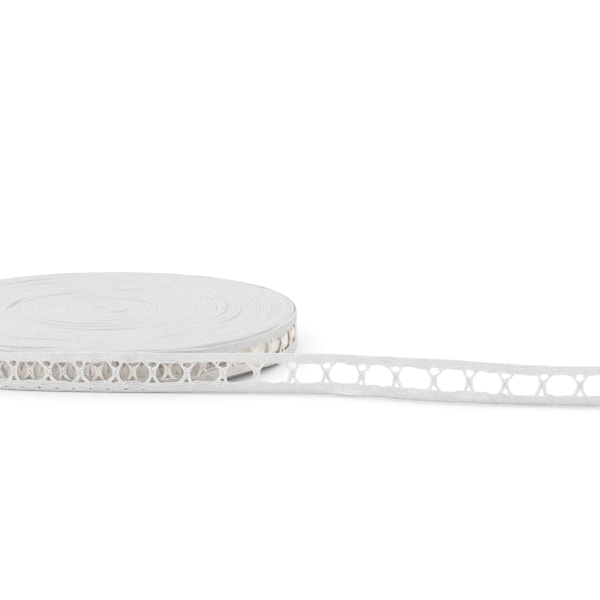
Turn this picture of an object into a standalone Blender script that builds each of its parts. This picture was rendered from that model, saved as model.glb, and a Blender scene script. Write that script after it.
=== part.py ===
"""A roll of cotton ladder lace, wound flat like a disc, with its loose end lying out in front.

The origin is on the roll's axis, at the flat side that it rests on. +Z is up, and +X is the
way in which the loose end runs. A bearing is an angle about the axis, from the front (-Y)
towards +X. Lengths are in metres.
"""
import math

import bmesh
import bpy
import numpy as np

MM = 0.001

# Every table's first row names its columns

# The lace: two close bands joined by crossed threads, which leave a ladder of big holes
LACE_WIDTH = 10.0 * MM
LACE_THICKNESS = 1.0 * MM
REPEAT = 8.16 * MM
HOLE_WIDTH = 6.6 * MM
HOLE_HEIGHT = 4.9 * MM
CLEARANCE = 0.3 * MM
EDGE_ROUNDING = 0.45 * MM

# The roll's outermost turn, from where the loose end has left it round to where it starts.
# It is pulled flat along the front and bulges at the right, where the loose end tugs at it.
OUTLINE = (
    ("bearing_deg", "radius_mm"),
    (30, 56.7),
    (37, 56.5),
    (44, 55.8),
    (53, 54.3),
    (62, 52.7),
    (75, 51.6),
    (90, 51.1),
    (105, 50.8),
    (120, 51.0),
    (150, 51.3),
    (180, 52.0),
    (210, 53.1),
    (240, 51.6),
    (270, 51.4),
    (300, 52.8),
)
WALL_REPEATS = 40
FRONT_STEPS = 13
FRONT_BEARING_END = 23.0
STEP_SLANT = 0.15
OUTLINE_STEPS = 1441

# The loose end's middle line on the floor, from the roll's left front to its cut end, and
# how high the lace stands there: it is a little uneven in width
PATH = (
    ("x_mm", "y_mm", "height_mm"),
    (-37.5, -35.8, 9.80),
    (-29.6, -42.0, 9.60),
    (-18.2, -47.4, 9.35),
    (-6.8, -49.3, 9.65),
    (8.6, -50.4, 9.90),
    (28.6, -51.1, 9.85),
    (51.8, -52.5, 10.15),
    (61.0, -53.5, 10.15),
    (68.3, -55.4, 10.30),
    (79.0, -58.9, 10.50),
    (89.7, -61.0, 10.35),
    (100.4, -62.3, 9.95),
    (111.0, -63.3, 9.70),
    (124.0, -64.3, 9.95),
    (138.0, -65.0, 10.00),
)
LOOSE_START = 9.6 * MM
LOOSE_REPEATS = 20
PATH_STEPS = 500
TANGENT_REACH = REPEAT / 8

# A quarter of one repeat of the loose lace, from the middle of its hole: a point of the
# hole's edge as shares of its half size, and the point beyond it as shares of the repeat's
QUARTER = (
    ("hole_across", "hole_up", "cell_across", "cell_up"),
    (0.95, 0.56, 1.0, 0.42),
    (0.72, 0.92, 1.0, 1.0),
    (0.30, 1.0, 0.33, 1.0),
)

# The columns of one repeat in the roll's wall, from the middle of its crossed threads
WALL = (
    ("along_mm", "part"),
    (0.8, "bar"),
    (1.1, "slope"),
    (2.2, "hole"),
    (5.96, "hole"),
    (7.06, "slope"),
    (7.36, "bar"),
)
HOLE_DEPTH = 0.9 * MM
HOLE_SLOPE = 0.55 * MM
CORNER_LIFT = 0.6 * MM

# The grooves between bundles of turns in the roll's top, as shares of its radius. Each is
# deepest at one bearing, and fades to a shallow line past its spread.
GROOVES = (
    ("share", "depth_mm", "bearing_deg", "spread_deg"),
    (0.972, 2.4, 42, 34),
    (0.915, 0.5, -20, 30),
    (0.850, 0.6, 210, 28),
    (0.780, 0.5, -14, 26),
    (0.700, 0.5, 216, 30),
    (0.615, 0.5, 95, 40),
    (0.530, 0.6, 5, 28),
    (0.450, 0.7, 200, 45),
    (0.385, 0.6, -15, 50),
    (0.290, 0.4, 150, 60),
    (0.190, 0.4, -60, 60),
    (0.100, 0.4, 40, 70),
)
SHALLOW = 0.18 * MM
WAVES_ROUND = 5
RIPPLE = 0.4
CROWN_DIP = 0.12 * MM
COARSE_SHARE = 0.40
CENTRE_DIP = 0.35 * MM
CENTRE_SHARE = 0.03
SHARP_ANGLE = 50.0

COTTON = (0.80, 0.79, 0.77, 1.0)
COTTON_ROUGHNESS = 0.92


def rows_of(table):
    """The rows of a table, each a dictionary keyed by the table's column names."""
    return [dict(zip(table[0], row)) for row in table[1:]]


def smooth(xs, ys, x):
    """Value at x of a smooth curve through the points (xs, ys), by cubic pieces."""
    i = int(np.clip(np.searchsorted(xs, x) - 1, 0, len(xs) - 2))
    before = max(i - 1, 0)
    after = min(i + 2, len(xs) - 1)
    span = xs[i + 1] - xs[i]
    t = (x - xs[i]) / span
    slope_in = (ys[i + 1] - ys[before]) / (xs[i + 1] - xs[before])
    slope_out = (ys[after] - ys[i]) / (xs[after] - xs[i])
    rise = ys[i + 1] - ys[i]
    return (ys[i] + t * span * slope_in
            + t * t * (3 * rise - span * (2 * slope_in + slope_out))
            + t ** 3 * (span * (slope_in + slope_out) - 2 * rise))


def lengths(points):
    """Distance along a line of points, from its first point to each."""
    steps = np.linalg.norm(np.diff(points, axis=0), axis=1)
    return np.concatenate([[0.0], np.cumsum(steps)])


def make_path():
    """The loose end's middle line as close points, with the length along it at each.

    A point holds its place on the floor and the height of the lace there.
    """
    corners = np.array([[row["x_mm"], row["y_mm"], row["height_mm"]] for row in rows_of(PATH)]) * MM
    at = lengths(corners[:, :2])
    dense = np.linspace(0.0, at[-1], PATH_STEPS)
    line = np.array([[smooth(at, column, s) for column in corners.T] for s in dense])
    return line, lengths(line[:, :2])


def path_frame(line, along, s):
    """Point of the line at length s, and the direction square to it, towards the roll."""
    point = np.array([np.interp(s, along, line[:, k]) for k in (0, 1)])
    ahead = np.array([np.interp(s + TANGENT_REACH, along, line[:, k]) for k in (0, 1)])
    behind = np.array([np.interp(s - TANGENT_REACH, along, line[:, k]) for k in (0, 1)])
    forward = (ahead - behind) / np.linalg.norm(ahead - behind)
    return point, np.array([-forward[1], forward[0]])


def bearing_of(point):
    return math.degrees(math.atan2(point[0], -point[1]))


def make_outline(line, along):
    """Bearings and radii of the roll's outer face, from inside the loose end's start."""
    inset = LACE_THICKNESS / 2 + CLEARANCE
    front = []
    for s in np.linspace(LOOSE_START, along[-1], PATH_STEPS):
        point, inward = path_frame(line, along, s)
        inner = point + inset * inward
        if bearing_of(inner) > FRONT_BEARING_END:
            break
        front.append((bearing_of(inner), float(np.hypot(*inner))))
    picked = [front[k] for k in np.linspace(0, len(front) - 1, FRONT_STEPS).astype(int)]
    turns = [(row["bearing_deg"], row["radius_mm"] * MM) for row in rows_of(OUTLINE)]
    start_bearing, start_radius = picked[0]
    step = LACE_THICKNESS + CLEARANCE
    end = (start_bearing + 360.0 - STEP_SLANT, start_radius + step)
    rows = np.array(picked + turns + [end])
    return rows[:, 0], rows[:, 1]


def wall_stations(bearings, radii):
    """The bearing, radius and lace part of each column of the roll's wall."""
    fine = np.linspace(bearings[0], bearings[-1], OUTLINE_STEPS)
    reach = np.array([smooth(bearings, radii, b) for b in fine])
    turn = np.radians(fine)
    along = lengths(np.stack([reach * np.sin(turn), -reach * np.cos(turn)], axis=1))
    repeat = along[-1] / WALL_REPEATS
    stretch = repeat / REPEAT
    columns = [(k * repeat + row["along_mm"] * MM * stretch, row["part"])
               for k in range(WALL_REPEATS) for row in rows_of(WALL)]
    columns[0] = (0.0, columns[0][1])
    columns[-1] = (along[-1], columns[-1][1])
    stations = []
    for s, part in columns:
        bearing = float(np.interp(s, along, fine))
        stations.append((bearing, smooth(bearings, radii, bearing), part))
    return stations


def place(bearing, radius, height):
    turn = math.radians(bearing)
    return radius * math.sin(turn), -radius * math.cos(turn), height


def wall_rings(stations):
    """Rings of points up the roll's wall, with the ladder's holes sunk into it."""
    low = (LACE_WIDTH - HOLE_HEIGHT) / 2
    high = LACE_WIDTH - low
    # Each row: height, inset of the rounded edge, how far it moves at the crossed threads,
    # and whether the hole is sunk here
    rows = (
        (0.0, EDGE_ROUNDING, 0.0, False),
        (EDGE_ROUNDING, 0.0, 0.0, False),
        (low, 0.0, CORNER_LIFT, False),
        (low + HOLE_SLOPE, 0.0, CORNER_LIFT, True),
        (high - HOLE_SLOPE, 0.0, -CORNER_LIFT, True),
        (high, 0.0, -CORNER_LIFT, False),
        (LACE_WIDTH - EDGE_ROUNDING, 0.0, 0.0, False),
        (LACE_WIDTH, EDGE_ROUNDING, 0.0, False),
    )
    rings = []
    for height, inset, lift, sunk in rows:
        ring = []
        for bearing, radius, part in stations:
            depth = HOLE_DEPTH if sunk and part != "bar" else 0.0
            rise = 0.0 if part == "hole" else lift
            ring.append(place(bearing, radius - inset - depth, height + rise))
        rings.append(ring)
    return rings


def groove_depth(groove, bearing):
    """Depth of a groove at a bearing, uneven round the roll."""
    away = (bearing - groove["bearing_deg"] + 180.0) % 360.0 - 180.0
    deep = groove["depth_mm"] * MM * math.exp(-(away / groove["spread_deg"]) ** 2)
    phase = WAVES_ROUND * (bearing + 360.0 * groove["share"])
    return max(deep, SHALLOW * (1.0 + RIPPLE * math.sin(math.radians(phase))))


def top_rings(stations):
    """Rings of points over the roll's top, a groove and then a crown for each bundle."""
    middle_radius = float(np.mean([radius for _, radius, _ in stations]))
    rings = []
    grooves = rows_of(GROOVES)
    shares = [groove["share"] for groove in grooves] + [CENTRE_SHARE]
    for k, cut in enumerate(grooves):
        crown = (shares[k] + shares[k + 1]) / 2
        for share, groove in ((shares[k], cut), (crown, None)):
            step = 4 if share < COARSE_SHARE else 2
            ring = []
            for bearing, radius, _ in stations[::step]:
                dip = groove_depth(groove, bearing) if groove else CROWN_DIP * (k % 3)
                even = middle_radius + (radius - middle_radius) * share ** 3
                ring.append(place(bearing, share * even, LACE_WIDTH - dip))
            rings.append(ring)
    return rings


def join_rings(mesh, outer, inner):
    """Faces between two rings; the inner one may have half as many points."""
    if len(outer) == len(inner):
        for k, corner in enumerate(outer):
            after = (k + 1) % len(outer)
            mesh.faces.new((corner, outer[after], inner[after], inner[k]))
        return
    for k, corner in enumerate(inner):
        after = (k + 1) % len(inner)
        first, middle = outer[2 * k], outer[2 * k + 1]
        last = outer[(2 * k + 2) % len(outer)]
        mesh.faces.new((first, middle, corner))
        mesh.faces.new((middle, inner[after], corner))
        mesh.faces.new((middle, last, inner[after]))


def finish(mesh, name, material):
    """The finished object of a mesh, with its material, its normals out and its shading."""
    bmesh.ops.recalc_face_normals(mesh, faces=mesh.faces)
    data = bpy.data.meshes.new(name)
    mesh.to_mesh(data)
    mesh.free()
    data.materials.append(material)
    data.shade_smooth()
    data.set_sharp_from_angle(angle=math.radians(SHARP_ANGLE))
    thing = bpy.data.objects.new(name, data)
    bpy.context.scene.collection.objects.link(thing)
    return thing


def cotton(name):
    material = bpy.data.materials.new(name)
    material.use_nodes = True
    shader = material.node_tree.nodes["Principled BSDF"]
    shader.inputs["Base Color"].default_value = COTTON
    shader.inputs["Roughness"].default_value = COTTON_ROUGHNESS
    shader.inputs["Metallic"].default_value = 0.0
    return material


def make_roll(line, along, material):
    """The wound disc: its ladder wall, its grooved top and its flat underside."""
    stations = wall_stations(*make_outline(line, along))
    mesh = bmesh.new()
    points = wall_rings(stations) + top_rings(stations)
    rings = [[mesh.verts.new(point) for point in ring] for ring in points]
    for outer, inner in zip(rings, rings[1:]):
        join_rings(mesh, outer, inner)
    mesh.faces.new(list(reversed(rings[0])))
    centre = mesh.verts.new((0.0, 0.0, LACE_WIDTH - CENTRE_DIP))
    last = rings[-1]
    for k, corner in enumerate(last):
        mesh.faces.new((corner, last[(k + 1) % len(last)], centre))
    return finish(mesh, "roll", material)


def quarter_loop():
    """The points round one repeat's hole, with the point of the repeat's edge beyond each."""
    upper_right = [(1.0, 0.0, 1.0, 0.0)] + list(QUARTER[1:])
    upper_left = [(-a, b, -c, d) for a, b, c, d in reversed(upper_right)]
    upper = upper_right + upper_left
    lower = [(a, -b, c, -d) for a, b, c, d in reversed(upper[1:-1])]
    return upper + lower


def make_loose_end(line, along, material):
    """The loose end: a ladder of holes cut through a thin band that stands on its edge."""
    mesh = bmesh.new()
    made = {}

    def corner(across, up):
        key = (round(across / MM, 3), round(up / MM, 3))
        if key not in made:
            made[key] = mesh.verts.new((across, -LACE_THICKNESS / 2, up))
        return made[key]

    loop = quarter_loop()
    for k in range(LOOSE_REPEATS):
        middle = (k + 0.5) * REPEAT
        hole = []
        edge = []
        for hole_across, hole_up, cell_across, cell_up in loop:
            up = LACE_WIDTH / 2 + hole_up * HOLE_HEIGHT / 2
            hole.append(corner(middle + hole_across * HOLE_WIDTH / 2, up))
            edge.append(corner(middle + cell_across * REPEAT / 2, LACE_WIDTH / 2 * (1 + cell_up)))
        for i in range(len(loop)):
            j = (i + 1) % len(loop)
            mesh.faces.new((edge[i], edge[j], hole[j], hole[i]))
    raised = bmesh.ops.extrude_face_region(mesh, geom=mesh.faces[:])["geom"]
    for part in raised:
        if isinstance(part, bmesh.types.BMVert):
            part.co.y += LACE_THICKNESS
    for vert in mesh.verts:
        s = LOOSE_START + vert.co.x
        point, inward = path_frame(line, along, s)
        laid = point + vert.co.y * inward
        stretch = np.interp(s, along, line[:, 2]) / LACE_WIDTH
        vert.co = (laid[0], laid[1], vert.co.z * stretch)
    return finish(mesh, "loose_end", material)


def main():
    for thing in list(bpy.data.objects):
        bpy.data.objects.remove(thing, do_unlink=True)
    line, along = make_path()
    make_roll(line, along, cotton("wound lace"))
    make_loose_end(line, along, cotton("loose lace"))


main()
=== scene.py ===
# %% [markdown]
# A roll of cotton ladder lace. The lace is one narrow band about 10 m long. It is wound flat
# like a disc, and its loose end stands on its edge in front of the roll.
# The whole band follows one path: a spiral, and then the loose end. So every thread is worked
# out along that path first and laid on it afterwards. That is quicker than modelling the turns
# one by one, and the loose end joins the roll without a step.

# %% The frame and the sizes
import math

import bpy
import numpy as np
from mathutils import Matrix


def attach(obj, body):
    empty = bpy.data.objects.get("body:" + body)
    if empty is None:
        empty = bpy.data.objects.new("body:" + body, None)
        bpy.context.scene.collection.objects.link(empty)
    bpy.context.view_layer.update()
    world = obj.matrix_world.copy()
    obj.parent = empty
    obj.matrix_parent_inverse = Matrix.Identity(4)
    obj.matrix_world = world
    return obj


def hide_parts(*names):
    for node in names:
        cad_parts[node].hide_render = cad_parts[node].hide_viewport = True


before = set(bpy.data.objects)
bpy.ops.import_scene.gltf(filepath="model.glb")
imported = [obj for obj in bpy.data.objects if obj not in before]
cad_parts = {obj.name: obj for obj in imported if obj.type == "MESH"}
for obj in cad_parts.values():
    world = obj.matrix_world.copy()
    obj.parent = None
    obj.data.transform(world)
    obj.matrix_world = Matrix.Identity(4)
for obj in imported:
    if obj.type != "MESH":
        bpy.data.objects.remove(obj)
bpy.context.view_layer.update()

MM = 0.001
LACE_WIDTH = 10.0 * MM
LACE_THICKNESS = 0.80 * MM
REPEAT = 8.16 * MM
print("frame nodes:", sorted(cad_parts))


# %% [markdown]
# Small helpers come first. A table's first row names its columns, as in a spreadsheet. A smooth
# curve through a few given points stands for a stretch of cloth. A hump and a ramp fade a
# change in and out along the lace, so that nothing starts with a step. A seeded wave makes the
# lace uneven in the same way on every run, and one table holds the waves, each with its name.

# %% Helpers for tables, smooth curves and unevenness
END_MARGIN = 0.01


def rows_of(table):
    """The rows of a table, each a dictionary keyed by the table's column names."""
    return [dict(zip(table[0], row)) for row in table[1:]]


def column(table, name):
    return np.array([row[name] for row in rows_of(table)], float)


def smooth(xs, ys, x):
    """Values at x of a smooth curve through the points (xs, ys), by cubic pieces."""
    i = np.clip(np.searchsorted(xs, x) - 1, 0, len(xs) - 2)
    before = np.maximum(i - 1, 0)
    after = np.minimum(i + 2, len(xs) - 1)
    span = xs[i + 1] - xs[i]
    t = (x - xs[i]) / span
    slope_in = (ys[i + 1] - ys[before]) / (xs[i + 1] - xs[before])
    slope_out = (ys[after] - ys[i]) / (xs[after] - xs[i])
    rise = ys[i + 1] - ys[i]
    return (ys[i] + t * span * slope_in
            + t * t * (3 * rise - span * (2 * slope_in + slope_out))
            + t ** 3 * (span * (slope_in + slope_out) - 2 * rise))


def lengths(points):
    """Distance along a line of points, from its first point to each."""
    steps = np.linalg.norm(np.diff(points, axis=0), axis=1)
    return np.concatenate([[0.0], np.cumsum(steps)])


def hump(x, middle, spread):
    """A smooth hump: 1 at its middle, and almost 0 at twice its spread from there."""
    return np.exp(-((x - middle) / spread) ** 2)


def ramp(x, start, over):
    """Rises evenly from 0 at start to 1, over this distance."""
    return np.clip((x - start) / over, 0, 1)


def points_at(s, at, line):
    """Points of a line at each s, where at holds the s of its own points."""
    return np.stack([np.interp(s, at, line[:, k]) for k in (0, 1)], axis=-1)


def steps_inside(s_from, s_to, step):
    """Numbers of the whole steps inside a stretch, its very ends left out."""
    return np.arange(math.ceil(s_from / step + END_MARGIN), math.floor(s_to / step - END_MARGIN) + 1)


def from_nearest(x, period):
    """How far x is from the nearest whole number of periods."""
    return (x + period / 2) % period - period / 2


UNEVENNESS = (
    ("what", "wave_mm", "reach_mm", "seed"),
    ("top edge, long", 31, 0.05, 21),
    ("top edge, short", 6, 0.04, 22),
    ("top edge, loose end", 5, 0.05, 23),
    ("lean", 17, 0.25, 24),
    ("curl of the foot", 24, 0.16, 25),
    ("outer edge of a band", 3.3, 0.03, 33),
    ("inner edge of a band", 1.8, 0.34, 32),
    ("inner edge, long", 4.0, 0.08, 34),
    ("runner", 1.9, 0.03, 40),
    ("worker", 1.3, 0.06, 51),
    ("place through the cloth", 1.6, 0.06, 61),
    ("beads through the cloth", 0.5, 0.04, 67),
    ("height of the beads", 0.68, 0.06, 62),
    ("height of a turn", 3.1, 0.05, 63),
    ("foot of a turn", 1.7, 0.05, 64),
    ("hidden band's inner edge", 1.5, 0.20, 65),
    ("top of the bunched threads", 2.3, 0.9, 68),
)
UNEVEN_ROWS = {row["what"]: row for row in rows_of(UNEVENNESS)}


NOISE_KNOTS = 4096


def uneven(at, wave, reach, seed):
    """A seeded smooth wave of about this length, up to reach either way, at each place."""
    knots = np.random.default_rng(seed).uniform(-1.0, 1.0, NOISE_KNOTS)
    place = np.asarray(at) / wave
    low = np.floor(place).astype(int)
    t = place - low
    t = t * t * (3 - 2 * t)
    return reach * (knots[low % NOISE_KNOTS] * (1 - t) + knots[(low + 1) % NOISE_KNOTS] * t)


def waver(at, what, sister=0):
    """The wave of this name at each place; each sister number gives another wave like it."""
    row = UNEVEN_ROWS[what]
    return uneven(at, row["wave_mm"] * MM, row["reach_mm"] * MM, row["seed"] + sister)


print("helpers ready, the lace leans by", round(float(waver(1 * MM, "lean") / MM), 2), "mm at 1 mm")


# %% [markdown]
# The camera stands where the photograph was taken from: in front of the roll, a little above
# it, and to the right of its middle, so the roll is cut off at the left of the picture. The
# light is a white studio: a white surround that is brighter overhead than at the horizon, and
# a white floor. Such light has no hard shadows; the floor only darkens where the lace stands
# close to it and hides part of the surround.

# %% The camera
CAMERA_PLACE = (51.80 * MM, -414.8 * MM, 95.6 * MM)
CAMERA_PITCH_DEG = 11.41
PICTURE_PIXELS = 600
FOCAL_PIXELS = 1618.0
SENSOR_MM = 36.0
NEAREST = 0.01
FARTHEST = 50.0

bpy.ops.object.select_all(action="DESELECT")
bpy.ops.object.camera_add(location=CAMERA_PLACE, rotation=(math.radians(90 - CAMERA_PITCH_DEG), 0, 0))
camera = bpy.context.object
camera.name = "photo_camera"
camera.data.sensor_width = SENSOR_MM
camera.data.lens = FOCAL_PIXELS / PICTURE_PIXELS * SENSOR_MM
camera.data.clip_start = NEAREST
camera.data.clip_end = FARTHEST
bpy.context.scene.camera = camera
print("camera lens", round(camera.data.lens, 1), "mm")

# %% The light and the floor
HORIZON_LIGHT = 0.78
OVERHEAD_LIGHT = 1.22
BRIGHTEST_WAY = (-0.10, 0.17, 0.98)
LIGHT_TINT = (1.0, 1.0, 1.0, 1.0)
FLOOR_SIZE = 16.0
FLOOR_WHITE = 0.985

bpy.context.scene.view_settings.view_transform = "Standard"
world = bpy.data.worlds.new("white studio")
world.use_nodes = True
world_nodes = world.node_tree.nodes
way = world_nodes.new("ShaderNodeTexCoord")
towards = world_nodes.new("ShaderNodeVectorMath")
towards.operation = "DOT_PRODUCT"
towards.inputs[1].default_value = BRIGHTEST_WAY
brightness = world_nodes.new("ShaderNodeMapRange")
brightness.inputs["To Min"].default_value = HORIZON_LIGHT
brightness.inputs["To Max"].default_value = OVERHEAD_LIGHT
world.node_tree.links.new(way.outputs["Generated"], towards.inputs[0])
world.node_tree.links.new(towards.outputs["Value"], brightness.inputs["Value"])
world.node_tree.links.new(brightness.outputs["Result"], world_nodes["Background"].inputs["Strength"])
world_nodes["Background"].inputs["Color"].default_value = LIGHT_TINT
bpy.context.scene.world = world

bpy.ops.mesh.primitive_plane_add(size=FLOOR_SIZE, location=(0, 0, 0))
floor = bpy.context.object
floor.name = "white_floor"
paper = bpy.data.materials.new("white paper")
paper.use_nodes = True
paper_shader = paper.node_tree.nodes["Principled BSDF"]
paper_shader.inputs["Base Color"].default_value = (FLOOR_WHITE, FLOOR_WHITE, FLOOR_WHITE, 1.0)
paper_shader.inputs["Roughness"].default_value = 1.0
paper_shader.inputs["Specular IOR Level"].default_value = 0.0
floor.data.materials.append(paper)
print("studio ready")

# %% [markdown]
# The cotton is soft, matt and almost white, with a touch of cream. Light that reaches the depth
# of the roll has bounced from yarn to yarn and taken up that cream each time, so the ladder
# looks warm in the roll, while the loose end stays white. That warmth is painted into the colour
# of the ladder in the roll, with rosy blotches: painted bounce light. The deep places of the
# roll's ladder get painted shade as dark brown blots. The edges of the turns inside the outermost
# one are painted a darker tone, as shade between their loops. The loose end's foot is painted
# darker, as the shade where it stands on the table. The yarn is two strands twisted together.
# Every thread gets a UV map that says how far along it a place is and how far round it, and one
# node group draws the twist and the fibres from that map; in the colour the twist's valleys are
# painted darker, as shade. A Bump node makes them stand up, so they cost no faces.

# %% The yarn's node group
PLY_TURN_MM = 0.85
FIBRE_ALONG = 2.2
FIBRE_ROUND = 9.0
BROAD_SCALE = 160.0
FLUFF_SCALE = 1500.0
# In the colour, the ply share darkens the twist's valleys: painted shade.
TONE_SHARES = {"fibre": 0.30, "broad": 0.20, "fluff": 0.10, "ply": 0.40}
TONE_RANGE = (0.32, 0.74)
HEIGHT_SHARES = {"ply": 0.6, "fibre": 0.3, "fluff": 0.1}
FIBRE_RANGE = (0.3, 0.7)
ROUGHNESS_RANGE = (0.82, 1.0)
YARN_SOCKETS = (
    ("Position", "INPUT", "Vector"),
    ("Yarn map", "INPUT", "Vector"),
    ("Pale", "INPUT", "Color"),
    ("Shade", "INPUT", "Color"),
    ("Color", "OUTPUT", "Color"),
    ("Roughness", "OUTPUT", "Float"),
    ("Height", "OUTPUT", "Float"),
)


def math_node(tree, operation, *inputs):
    """A Math node with each input linked to a socket or set to a number."""
    node = tree.nodes.new("ShaderNodeMath")
    node.operation = operation
    for place, value in enumerate(inputs):
        if isinstance(value, (int, float)):
            node.inputs[place].default_value = value
        else:
            tree.links.new(value, node.inputs[place])
    return node.outputs[0]


def range_node(tree, value, low, high, to_low=0.0, to_high=1.0):
    node = tree.nodes.new("ShaderNodeMapRange")
    node.interpolation_type = "SMOOTHSTEP"
    for name, number in (("From Min", low), ("From Max", high), ("To Min", to_low), ("To Max", to_high)):
        node.inputs[name].default_value = number
    tree.links.new(value, node.inputs["Value"])
    return node.outputs["Result"]


def mix_node(tree, factor, first, second):
    node = tree.nodes.new("ShaderNodeMix")
    node.data_type = "RGBA"
    tree.links.new(factor, node.inputs["Factor"])
    for name, value in (("A", first), ("B", second)):
        if isinstance(value, tuple):
            node.inputs[name].default_value = value
        else:
            tree.links.new(value, node.inputs[name])
    return node.outputs["Result"]


def noise_node(tree, vector, scale, detail):
    node = tree.nodes.new("ShaderNodeTexNoise")
    node.inputs["Scale"].default_value = scale
    node.inputs["Detail"].default_value = detail
    tree.links.new(vector, node.inputs["Vector"])
    return node.outputs["Fac"]


def blend_node(tree, parts, shares):
    """The sum of the named parts, each multiplied by its share."""
    total = None
    for name, share in shares.items():
        part = math_node(tree, "MULTIPLY", parts[name], share)
        total = part if total is None else math_node(tree, "ADD", total, part)
    return total


def make_yarn_group():
    """Spun cotton: colour, roughness and height from the place and the yarn's own map."""
    tree = bpy.data.node_groups.new("spun cotton yarn", "ShaderNodeTree")
    for name, way, kind in YARN_SOCKETS:
        tree.interface.new_socket(name=name, in_out=way, socket_type="NodeSocket" + kind)
    inside = tree.nodes.new("NodeGroupInput")
    outside = tree.nodes.new("NodeGroupOutput")

    split = tree.nodes.new("ShaderNodeSeparateXYZ")
    tree.links.new(inside.outputs["Yarn map"], split.inputs["Vector"])
    along, round_it = split.outputs["X"], split.outputs["Y"]
    turned = math_node(tree, "ADD", math_node(tree, "DIVIDE", along, PLY_TURN_MM),
                       math_node(tree, "MULTIPLY", round_it, 2.0))
    ply_wave = math_node(tree, "SINE", math_node(tree, "MULTIPLY", turned, math.pi))
    stretched = tree.nodes.new("ShaderNodeCombineXYZ")
    tree.links.new(math_node(tree, "MULTIPLY", along, FIBRE_ALONG), stretched.inputs["X"])
    tree.links.new(math_node(tree, "MULTIPLY", turned, FIBRE_ROUND), stretched.inputs["Y"])
    parts = {
        "ply": math_node(tree, "ABSOLUTE", ply_wave),
        "fibre": noise_node(tree, stretched.outputs["Vector"], 1.0, 3.0),
        "broad": noise_node(tree, inside.outputs["Position"], BROAD_SCALE, 1.0),
        "fluff": noise_node(tree, inside.outputs["Position"], FLUFF_SCALE, 2.0),
    }

    # The twist's valleys come out darker here: painted shade.
    lightness = range_node(tree, blend_node(tree, parts, TONE_SHARES), *TONE_RANGE)
    tone = mix_node(tree, lightness, inside.outputs["Shade"], inside.outputs["Pale"])
    roughness = range_node(tree, parts["fibre"], *FIBRE_RANGE, *ROUGHNESS_RANGE)
    tree.links.new(tone, outside.inputs["Color"])
    tree.links.new(roughness, outside.inputs["Roughness"])
    tree.links.new(blend_node(tree, parts, HEIGHT_SHARES), outside.inputs["Height"])
    return tree


yarn_group = make_yarn_group()
print("node group:", yarn_group.name)

# %% The cotton's four materials
PALE = (0.890, 0.889, 0.884, 1.0)
SHADE = (0.820, 0.818, 0.810, 1.0)
# The edges of the turns inside the outermost one are painted darker than the loose end's cotton: painted
# shade between their loops.
PAINTED_SHADE_EDGE_LIGHT = (0.788, 0.786, 0.780, 1.0)
PAINTED_SHADE_EDGE_DARK = (0.708, 0.705, 0.696, 1.0)
# The ladder in the roll is painted warm, with rosy blotches: painted bounce light.
PAINTED_BOUNCE_PALE = (0.960, 0.938, 0.900, 1.0)
PAINTED_BOUNCE_DARK = (0.915, 0.880, 0.825, 1.0)
PAINTED_BOUNCE_ROSE = (0.900, 0.832, 0.785, 1.0)
PAINTED_BOUNCE_BLOTCH_SCALE = 380.0
PAINTED_BOUNCE_BLOTCH_RANGE = (0.42, 0.62)
# Dark brown blots in the ladder deep in the roll, more towards the top: painted shade.
PAINTED_HOLLOW_SHADE = (0.43, 0.355, 0.285, 1.0)
PAINTED_HOLLOW_SHADE_SCALE = 640.0
PAINTED_HOLLOW_SHADE_SQUASH = (1.0, 1.0, 0.6)
PAINTED_HOLLOW_SHADE_RISE = 40.0
PAINTED_HOLLOW_SHADE_RANGE = (0.57, 0.79)
# The loose end is painted darker along its foot, up to this height: painted shade where it stands on the
# table.
PAINTED_FOOT_SHADE = (0.70, 0.695, 0.685, 1.0)
PAINTED_FOOT_SHADE_HEIGHT_MM = 0.9
LADDER_HALF_MM = (2.1, 2.6)
SPECULAR = 0.2
SHEEN = 0.08
SHEEN_ROUGHNESS = 0.6
YARN_RELIEF = 0.05 * MM
RELIEF_STRENGTH = 0.6


def yarn_node(tree, position, yarn_map, pale, shade):
    node = tree.nodes.new("ShaderNodeGroup")
    node.node_tree = yarn_group
    node.inputs["Pale"].default_value = pale
    node.inputs["Shade"].default_value = shade
    tree.links.new(position, node.inputs["Position"])
    tree.links.new(yarn_map, node.inputs["Yarn map"])
    return node


def place_sockets(tree):
    """Sockets with the place on the object, its height and the place on the yarn's map."""
    places = tree.nodes.new("ShaderNodeTexCoord")
    split = tree.nodes.new("ShaderNodeSeparateXYZ")
    tree.links.new(places.outputs["Object"], split.inputs["Vector"])
    return places.outputs["Object"], split.outputs["Z"], places.outputs["UV"]


def cotton_shader(name):
    """A new material whose Principled BSDF has cotton's plain settings."""
    material = bpy.data.materials.new(name)
    material.use_nodes = True
    shader = material.node_tree.nodes["Principled BSDF"]
    shader.inputs["Specular IOR Level"].default_value = SPECULAR
    shader.inputs["Sheen Weight"].default_value = SHEEN
    shader.inputs["Sheen Roughness"].default_value = SHEEN_ROUGHNESS
    return material, material.node_tree, shader


def finish_cotton(tree, shader, yarn, color):
    """Links the colour, and the yarn's roughness and relief, to the shader."""
    tree.links.new(color, shader.inputs["Base Color"])
    tree.links.new(yarn.outputs["Roughness"], shader.inputs["Roughness"])
    bump = tree.nodes.new("ShaderNodeBump")
    bump.inputs["Strength"].default_value = RELIEF_STRENGTH
    bump.inputs["Distance"].default_value = YARN_RELIEF
    tree.links.new(yarn.outputs["Height"], bump.inputs["Height"])
    tree.links.new(bump.outputs["Normal"], shader.inputs["Normal"])


def make_cotton(name, pale, shade, foot):
    """Matt cotton yarn of one tone, with painted shade: darker along the edge that stands on the table."""
    material, tree, shader = cotton_shader(name)
    position, height, yarn_map = place_sockets(tree)
    yarn = yarn_node(tree, position, yarn_map, pale, shade)
    # Painted shade: the yarn is darker at the foot and fades to its own tone by this height.
    painted_shade_by_height = range_node(tree, height, 0.0, PAINTED_FOOT_SHADE_HEIGHT_MM * MM)
    finish_cotton(tree, shader, yarn, mix_node(tree, painted_shade_by_height, foot, yarn.outputs["Color"]))
    return material


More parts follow.
